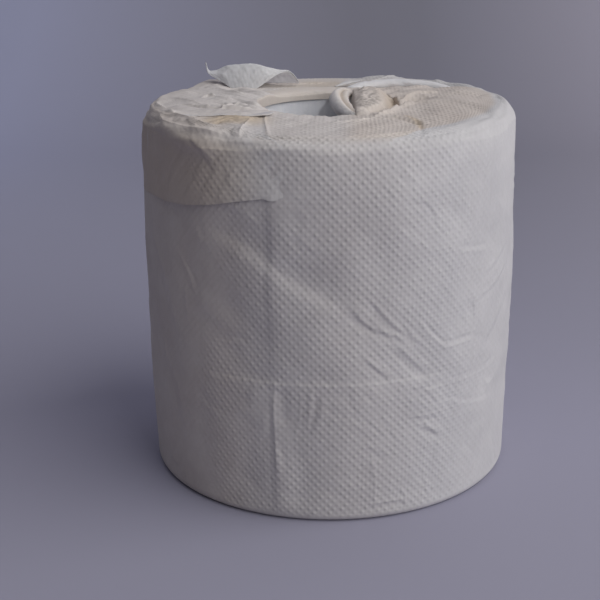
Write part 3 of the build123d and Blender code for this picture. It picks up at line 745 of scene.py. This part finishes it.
def tucks():
    """The folds stuffed into the right half of the mouth."""
    crescent = rolled_fold(
        "wrapper_tuck_crescent",
        [(11.4, -22, -1.4), (6.6, -16.5, -0.6), (3.8, -7, 0), (2.9, 4, 0.3), (4.0, 15, 0), (7.0, 23, -0.8)],
        [0.5, 1.5, 2.5, 2.7, 2.2, 1.0], 0.9, 51, 0.3,
        # Painted warm shade on the fold's body except along its left rim, and painted khaki shade in its
        # groove
        {"warm_shade": 0.7 - 0.7 * hump(fold_turns, 2.9, 0.9), "khaki_shade": 0.35 * hump(fold_turns, 1.2, 0.6)},
        groove=0.5,
    )
    tip = rolled_fold(
        "wrapper_tuck_tip",
        [(2.0, 27, 0.2), (5.5, 29.5, 0.9), (9.5, 30.5, 1.3)],
        # A little painted warm shade on the tip
        [0.3, 1.3, 0.4], 0.4, 55, 0.1, {"warm_shade": 0.1, "khaki_shade": 0.0},
    )
    back = rolled_fold(
        "wrapper_tuck_back",
        [(4.2, 24, -0.8), (10, 28.5, -0.1), (19, 31, 0.2), (29, 28.5, 0.1), (38, 22, -0.6)],
        # Painted light on the back fold, with a little painted warm shade
        [1.0, 2.2, 2.5, 2.2, 1.0], 0.6, 81, 0.35, {"warm_shade": 0.15, "khaki_shade": 0.0, "lit_pale": 0.5},
    )
    return [crescent, tip, back, tuck_puff()]


def tuck_puff():
    """The puff between the crescent and the mouth's right edge, with the ribbed valley beside it."""
    x, y = np.meshgrid(np.linspace(5.5, 24.5, 100), np.linspace(-24, 28, 190))
    puff = 3.4 * hump(x, 11.2, 5.4, 3) * hump(y, -1, 23, 4)
    inner = 0.6 * hump(x, 18.4, 2.6) * hump(y, 6, 12, 4)
    gap, _ = beside(spline([(14.8, -21), (16.8, -12), (18.2, -4), (19.4, 4)]), x, y)
    valley = -2.6 * hump(gap, 0, 2.1)
    turn, away = np.arctan2(y + 19, x - 16.5), np.hypot(y + 19, x - 16.5)
    ribs = 0.16 * np.sin(26 * turn + 1.5 * np.sin(5 * turn)) * smooth(2, 8, away)
    z = puff + inner + valley + ribs + crumples(x, y, (0.4, 2.4, 61), (0.3, 1.1, 62)) - 0.9
    under = smooth(mouth_radius - 1.0, mouth_radius + 0.2, np.hypot(x, y)) * smooth(8, 13, x)
    z = mouth_height + z * (1 - under) - 0.65 * under - 6 * smooth(7.2, 5.5, x)
    # Painted khaki shade in the valley beside the puff and a little all over it
    khaki_shade = 0.4 * hump(x, 19, 4.0) * hump(y, 0, 16, 4) + 0.08
    points = np.stack([x, y, z], -1)[::-1]
    # Painted warm shade all over the puff
    return smooth_piece("wrapper_tuck_puff", points, {"warm_shade": 0.75, "khaki_shade": khaki_shade[::-1]}, tissue)


# The leaf, in millimetres: x, then height and place along y of its crest, of its front edge and of its foot
leaf_stations = [
    (-36.2, 108.9, 28.6, 108.4, 28.2, 108.6, 28.9),
    (-35.4, 106.5, 28.6, 105.8, 27.0, 106.3, 28.9),
    (-33.0, 106.5, 28.4, 104.6, 25.4, 106.2, 28.9),
    (-30.6, 107.5, 28.2, 103.3, 24.2, 106.6, 29.2),
    (-28.8, 108.0, 28.0, 102.2, 23.4, 105.0, 31.2),
    (-25.0, 108.3, 27.8, 101.6, 23.0, 102.0, 33.4),
    (-21.6, 108.3, 27.8, 101.6, 23.4, 101.9, 33.8),
    (-18.0, 107.5, 28.2, 103.6, 25.0, 101.9, 33.8),
    (-14.5, 106.5, 29.0, 105.7, 27.4, 101.9, 33.6),
    (-12.0, 106.1, 29.6, 105.9, 29.2, 101.9, 33.4),
    (-10.4, 104.8, 30.6, 104.6, 30.4, 101.9, 33.2),
    (-9.0, 102.5, 32.0, 102.4, 31.8, 101.8, 33.0),
]


def leaf():
    """The corner of the sheet that stands up behind the mouth, rolls forward and opens to the right."""
    half_thickness = 0.1
    x, crest_z, crest_y, front_z, front_y, foot_z, foot_y = spline(leaf_stations, 16).T
    edges = ((crest_y, crest_z), (front_y, front_z), (foot_y, foot_z))
    crest, front, foot = (np.stack([x, y, z], -1) for y, z in edges)
    before = (crest + front) / 2 + np.minimum(1, (crest_z - front_z) / 4)[:, None] * [0, -1.1, 0.5]
    behind = (crest + foot) / 2 + np.minimum(1, (crest_z - foot_z) / 4)[:, None] * [0, 0.9, 0.8]
    rows = spline(np.stack([front, before, crest, behind, foot]).reshape(5, -1), 12)
    rows = rows.reshape(len(rows), len(x), 3)
    length, width = np.broadcast_arrays(rows[..., 0], np.linspace(0, 14, len(rows))[:, None])
    free = 1 - smooth(9, 13, width)
    ribs = 0.02 * np.sin(2 * pi * (length + 0.35 * width) / 1.1)
    rows[..., 1] += free * (crumples(length, width, (0.3, 4.5, 91), (0.12, 1.8, 92)) + ribs)
    rows[..., 2] += free * crumples(length, width, (0.16, 3.6, 93), (0.07, 1.5, 94))
    out = grid_normals(rows, False) * half_thickness

    def both_sides(front_values, back_values):
        """Front values, then back values in reverse, closed at the front's first row."""
        return np.vstack([front_values, back_values[::-1], front_values[:1]])

    # Painted light on the leaf, with a little painted warm shade
    masks = {"warm_shade": 0.1, "lit_pale": 0.9, "strength": 0.5}
    masks |= {"across": both_sides(length, length) / dot_width, "along": both_sides(width, width) / dot_rise}
    return grid_piece("wrapper_leaf", both_sides(rows + out, rows - out), masks, thin_tissue)


def linear(colour):
    """Linear colour from its 0 to 255 screen values."""
    values = np.array(colour) / 255
    return tuple(np.where(values <= 0.04045, values / 12.92, ((values + 0.055) / 1.055) ** 2.4))


def material(name, colour, roughness, **inputs):
    """A new material, its node tree and its shader, with further inputs of the shader."""
    made = bpy.data.materials.new(name)
    made.use_nodes = True
    tree = made.node_tree
    shader = tree.nodes["Principled BSDF"]
    inputs |= {"Base Color": (*linear(colour), 1), "Roughness": roughness}
    for key, value in inputs.items():
        shader.inputs[key].default_value = value
    return made, tree, shader


def feed(tree, socket, value):
    """Joins an output to an input, or gives the input a value."""
    if isinstance(value, bpy.types.NodeSocket):
        tree.links.new(value, socket)
    else:
        socket.default_value = value


def node(tree, kind, **settings):
    """A node with its settings, where a key that names an input feeds that input."""
    made = tree.nodes.new("ShaderNode" + kind)
    for key, value in settings.items():
        if key in made.inputs:
            feed(tree, made.inputs[key], value)
        else:
            setattr(made, key, value)
    return made


def noise(tree, scale, detail, stretch=None):
    """Noise in the piece's own place, stretched along its axes if asked."""
    place = node(tree, "TexCoord").outputs["Object"]
    if stretch:
        place = node(tree, "Mapping", Scale=stretch, Vector=place).outputs["Vector"]
    texture = node(tree, "TexNoise", Scale=scale, Detail=detail, Roughness=0.6, Vector=place)
    return texture.outputs["Fac"]


def blend(tree, share, first, second):
    """A mix of two colours, where each is a colour or an output."""
    mix = node(tree, "Mix", data_type="RGBA")
    colours = [(*linear(value), 1) if isinstance(value, tuple) else value for value in (first, second)]
    for index, value in zip((0, 6, 7), (share, *colours)):
        feed(tree, mix.inputs[index], value)
    return mix.outputs[2]


def ranged(tree, source, low, high, to_low=0.0, to_high=1.0):
    """The source, moved from one range to another."""
    limits = {"From Min": low, "From Max": high, "To Min": to_low, "To Max": to_high}
    return node(tree, "MapRange", Value=source, **limits).outputs["Result"]


def coat(tree, shader, colour, layers):
    """Gives the shader its colour and its bump layers, each a height, a depth in metres and a strength."""
    tree.links.new(colour, shader.inputs["Base Color"])
    before = None
    for source, depth, strength in layers:
        bump = node(tree, "Bump", Distance=depth, Strength=strength, Height=source)
        if before is not None:
            tree.links.new(before, bump.inputs["Normal"])
        before = bump.outputs["Normal"]
    tree.links.new(before, shader.inputs["Normal"])


def maths(tree, operation, *values):
    """A maths node over numbers and outputs."""
    made = node(tree, "Math", operation=operation)
    for index, value in enumerate(values):
        feed(tree, made.inputs[index], value)
    return made.outputs[0]


def mask(tree, name):
    """A mask of the mesh."""
    return node(tree, "Attribute", attribute_name=name).outputs["Fac"]


def dot_pattern(tree):
    """The embossing on the mesh's lattice: raised dots, and faint ribs where it is stretched."""
    add, less, times = (partial(maths, tree, operation) for operation in ("ADD", "SUBTRACT", "MULTIPLY"))
    rounded, cosine = partial(maths, tree, "ROUND"), partial(maths, tree, "COSINE")
    across, along, strength, ribbed = (mask(tree, name) for name in ("across", "along", "strength", "ribbed"))
    first, second = times(add(across, along), 0.5), times(less(across, along), 0.5)
    first_cell, second_cell = rounded(first), rounded(second)
    first_side, second_side = less(first, first_cell), less(second, second_cell)
    cell = node(tree, "CombineXYZ", X=first_cell, Y=second_cell)
    chance = node(tree, "TexWhiteNoise", Vector=cell.outputs[0])
    aside = times(add(first_side, second_side), dot_width / dot_half)
    above = times(less(first_side, second_side), dot_rise / dot_half)
    away = add(times(aside, aside), times(above, above))
    near = maths(tree, "EXPONENT", times(away, -1.0))
    raised = times(times(near, add(times(chance.outputs["Value"], 0.7), 0.6)), strength)
    ribs = times(times(cosine(times(second, 2 * pi)), 0.09), less(1.0, strength))
    top_ribs = times(times(cosine(times(across, 2 * pi)), 0.07), ribbed)
    return add(add(ribs, top_ribs), raised)


def tissue_material(name, soft):
    """Embossed tissue with fibres and mottling, tinted with painted warm shade, painted khaki shade and
    painted light; soft is how much light it lets in.
    """
    light = {"Subsurface Weight": soft, "Subsurface Radius": (0.0035, 0.0033, 0.0032), "Subsurface Scale": 1.0}
    light["Specular IOR Level"] = 0.2
    made, tree, shader = material(name, (210, 210, 210), 0.92, **light)
    fibres = noise(tree, 900, 4, (1, 1, 0.35))
    mottle = ranged(tree, noise(tree, 90, 5), 0.3, 0.7)
    # Painted shade: the warm pair stands for warm shade over the tissue's own cool white, mixed in by the mask
    # below
    cool, warm_shade = blend(tree, mottle, *cool_patches), blend(tree, mottle, *warm_shade_patches)
    colour = blend(tree, mask(tree, "warm_shade"), cool, warm_shade)
    # Painted shade: the khaki tint, where its mask is set
    colour = blend(tree, mask(tree, "khaki_shade"), colour, khaki_shade_tint)
    # Painted light: the pale tint brightens the tissue where its mask is set
    colour = blend(tree, mask(tree, "lit_pale"), colour, lit_pale_tint)
    colour = blend(tree, ranged(tree, fibres, 0.25, 0.75, 0.0, 0.10), colour, fleck_tint)
    tree.links.new(ranged(tree, fibres, 0.2, 0.8, 0.85, 1.0), shader.inputs["Roughness"])
    fine_grain = noise(tree, 2600, 3)
    layers = [(dot_pattern(tree), dot_bump / METRE, 1.0), (fibres, 0.00006, 0.5), (fine_grain, 0.00002, 0.5)]
    coat(tree, shader, colour, layers)
    return made


def board_material():
    """White board of the core, with the faint lines of its strips."""
    made, tree, shader = material("core_board", (236, 237, 242), 0.85)
    fibres = noise(tree, 700, 4, (1, 1, 0.5))
    colour = blend(tree, ranged(tree, fibres, 0.3, 0.7), (230, 232, 238), (241, 242, 246))
    coat(tree, shader, colour, [(fibres, 0.00005, 0.4)])
    return made


def wound_material():
    """The wound tissue inside, with the fine rings of its turns on both ends."""
    made, tree, shader = material("wound_tissue", (214, 213, 211), 0.95)
    place = node(tree, "TexCoord").outputs["Object"]
    rings = {"wave_type": "RINGS", "rings_direction": "Z", "Scale": 900, "Distortion": 1.5}
    turns = node(tree, "TexWave", Vector=place, **rings).outputs["Fac"]
    colour = blend(tree, ranged(tree, turns, 0, 1, 0, 0.25), (214, 213, 211), (180, 176, 170))
    coat(tree, shader, colour, [(turns, 0.00008, 0.4), (noise(tree, 900, 3), 0.00005, 0.4)])
    return made


def paint(name, made):
    """Gives a CAD node its material."""
    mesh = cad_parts[name].data
    mesh.materials.clear()
    mesh.materials.append(made)


def backdrop():
    """A pale floor that turns up into a wall behind the roll, in one sweep, with painted shade darkening its
    middle behind the roll and painted cool light on its left.
    """
    bend, far, wide = 0.35, 0.42, 3.0
    profile = [(-1.5, 0.0), (-0.5, 0.0), (0.0, 0.0), (far, 0.0)]
    profile += [(far + bend * sin(t), bend - bend * cos(t)) for t in np.linspace(0.06, pi / 2, 24)]
    profile += [(far + bend, 1.0), (far + bend, 2.4)]
    vertices = [(x, y, z) for y, z in profile for x in (-wide, wide)]
    faces = [(2 * i, 2 * i + 1, 2 * i + 3, 2 * i + 2) for i in range(len(profile) - 1)]
    mesh = bpy.data.meshes.new("floor")
    mesh.from_pydata(vertices, [], faces)
    mesh.polygons.foreach_set("use_smooth", [True] * len(faces))
    floor = placed("floor", mesh)
    made, tree, shader = material("floor", floor_near, 0.8)
    place = node(tree, "TexCoord").outputs["Object"]
    place = node(tree, "SeparateXYZ", Vector=place)
    along = place.outputs["X"]
    # Painted shade: the middle of the wall behind the roll is darker; painted light: the left is bluer than
    # the right
    middle = maths(tree, "MINIMUM", ranged(tree, along, -0.22, 0.02), ranged(tree, along, 0.24, 0.07))
    far_off = ranged(tree, place.outputs["Y"], 0.0, 0.4)
    sides = blend(tree, ranged(tree, along, -0.25, 0.15), floor_left, floor_right)
    sides = blend(tree, far_off, floor_near, sides)
    colour = blend(tree, maths(tree, "MULTIPLY", middle, far_off), sides, floor_middle_shade)
    tree.links.new(colour, shader.inputs["Base Color"])
    shader.inputs["Specular IOR Level"].default_value = 0.1
    mesh.materials.append(made)


def camera():
    """The camera at the photograph's viewing angle."""
    distance, elevation, yaw, roll, target_height = 0.36477, 0.3245, -0.0245, -0.0111, 0.04447
    data = bpy.data.cameras.new("camera")
    data.lens, data.sensor_width = 75.647, 36.0
    data.clip_start, data.clip_end = 0.01, 20
    made = placed("camera", data)
    ahead = Vector((sin(yaw) * cos(elevation), cos(yaw) * cos(elevation), -sin(elevation)))
    right = ahead.cross(Vector((0, 0, 1))).normalized()
    upright = Matrix((right, right.cross(ahead), -ahead)).transposed().to_4x4()
    place = Vector((0, -distance * cos(elevation), target_height + distance * sin(elevation)))
    made.matrix_world = Matrix.Translation(place) @ upright @ Matrix.Rotation(roll, 4, "Z")
    bpy.context.scene.camera = made


def aimed(name, data, target, way, distance):
    """Places a lamp on its way out from the target, looking back at it."""
    made = placed(name, data)
    made.location = target + way * distance
    made.rotation_mode = "QUATERNION"
    made.rotation_quaternion = way.to_track_quat("Z", "Y")


def lamp(name, azimuth, elevation, distance, size, level, colour):
    """A round soft lamp that looks at the roll; level is what a white sheet that faces it gets."""
    data = bpy.data.lights.new(name, "AREA")
    data.shape, data.size = "DISK", size
    data.energy = level * pi * pi * distance**2
    data.color = colour
    azimuth, elevation = radians(azimuth), radians(elevation)
    way = Vector((cos(elevation) * cos(azimuth), cos(elevation) * sin(azimuth), sin(elevation)))
    aimed(name, data, Vector((0, 0, 0.05)), way, distance)


def mouth_lamp():
    """A narrow lamp in front of the roll that lights the core's wall through the mouth."""
    data = bpy.data.lights.new("into_mouth", "SPOT")
    data.energy, data.spot_size, data.spot_blend, data.shadow_soft_size = 4.9, radians(3.4), 1.0, 0.02
    way = Vector((0.16, -0.8, 0.36)).normalized()
    aimed("into_mouth", data, Vector((-0.009, 0.013, 0.095)), way, 0.5)


def lights():
    """One large soft lamp from the right, one into the mouth, a weak one overhead, and a pale cool world."""
    lamp("key", 333, 36, 1.3, 1.9, 0.93, (1.0, 0.98, 0.97))
    mouth_lamp()
    lamp("overhead", 100, 78, 1.5, 1.6, 0.16, (0.96, 0.96, 1.0))
    world = bpy.data.worlds.new("world")
    bpy.context.scene.world = world
    world.use_nodes = True
    sky = world.node_tree.nodes["Background"]
    sky.inputs["Color"].default_value = (0.95, 0.93, 1.0, 1)
    sky.inputs["Strength"].default_value = 0.11


tissue = tissue_material("tissue", 0.0)
thin_tissue = tissue_material("thin_tissue", 0.6)
skin_pieces = skin()
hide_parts("wrapper")
base_piece = base()
lapel_piece = lapel()
pocket = pocket_edge()
hem_piece = hem()
tuck_pieces = tucks()
leaf_piece = leaf()
paint("core_tube", board_material())
paint("paper_roll", wound_material())
backdrop()
camera()
lights()
bpy.context.scene.view_settings.view_transform = "Standard"
